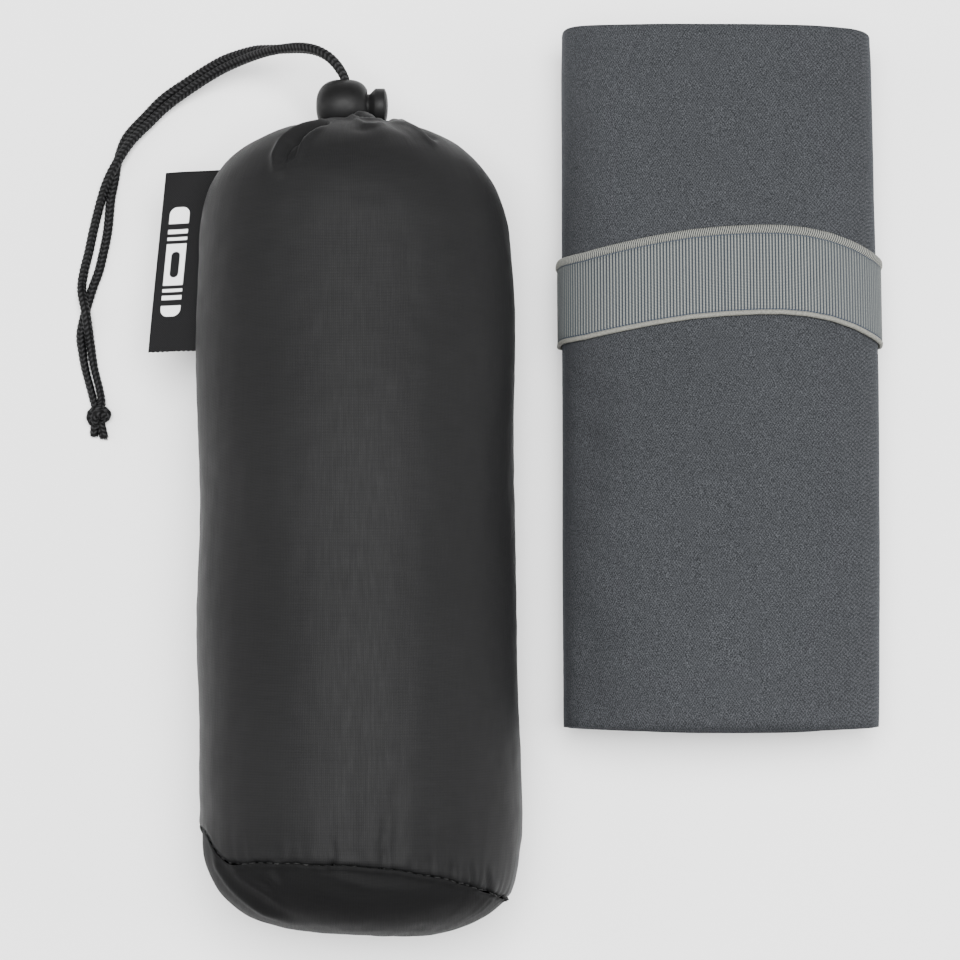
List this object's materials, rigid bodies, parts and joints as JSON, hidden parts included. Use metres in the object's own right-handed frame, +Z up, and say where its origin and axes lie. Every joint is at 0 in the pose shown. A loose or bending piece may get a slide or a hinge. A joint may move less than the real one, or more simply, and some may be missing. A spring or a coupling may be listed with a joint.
{
  "type": "quick dry towel set",
  "caption": "Folded, rolled microfibre towel held by a woven elastic band, laid beside its filled drawstring pouch with braided cord, ball cord lock and side label.",
  "frame": {"origin": "on the table, under the middle of the set (without the free cord)", "axes": "+Z up from the table; +Y along the roll and the pouch, towards the pouch's mouth; +X from the pouch to the towel"},
  "size_m": [0.2429, 0.2666, 0.0775],
  "materials": {
    "microfibre": "brushed suede microfibre, slate grey",
    "elastic": "woven ribbed elastic, light grey",
    "pouch_cloth": "plain woven polyester, black, soft sheen",
    "label": "woven satin label, black",
    "cord": "braided polyester cord, black",
    "lock_plastic": "moulded, matt",
    "spring_steel": "drawn wire"
  },
  "bodies": {
    "towel": {"towel_roll": "microfibre"},
    "elastic_band": {"elastic_band": "elastic"},
    "pouch": {"pouch_body": "pouch_cloth", "pouch_base": "pouch_cloth", "pouch_mouth_hem": "pouch_cloth", "side_label": "label", "drawcord_hem_loop": "cord", "drawcord_neck_a": "cord", "drawcord_neck_b": "cord", "drawcord_strand_a": "cord", "drawcord_strand_b": "cord", "drawcord_knot": "cord", "drawcord_tail_a": "cord", "drawcord_tail_b": "cord"},
    "cord_lock": {"cord_lock_body": "lock_plastic", "cord_lock_spring": "spring_steel"},
    "lock_plunger": {"cord_lock_plunger": "lock_plastic"}
  },
  "joints": [
    {"name": "band_slide", "type": "slide", "parent": "towel", "child": "elastic_band", "axis": [0, 1, 0], "range_m": [0, 0.11]},
    {"name": "pouch_lift", "type": "slide", "parent": "towel", "child": "pouch", "axis": [0, 0, 1], "range_m": [0, 0.12]},
    {"name": "lock_slide", "type": "slide", "parent": "pouch", "child": "cord_lock", "axis": [0, 1, 0], "range_m": [0, 0.02], "deforming": ["drawcord_neck_a", "drawcord_neck_b", "drawcord_strand_a", "drawcord_strand_b"]},
    {"name": "button_press", "type": "slide", "parent": "cord_lock", "child": "lock_plunger", "axis": [-1, 0, 0], "range_m": [0, 0.0019], "stiffness_N_per_m": 250, "springref_m": -0.001, "deforming": ["cord_lock_spring"]}
  ]
}
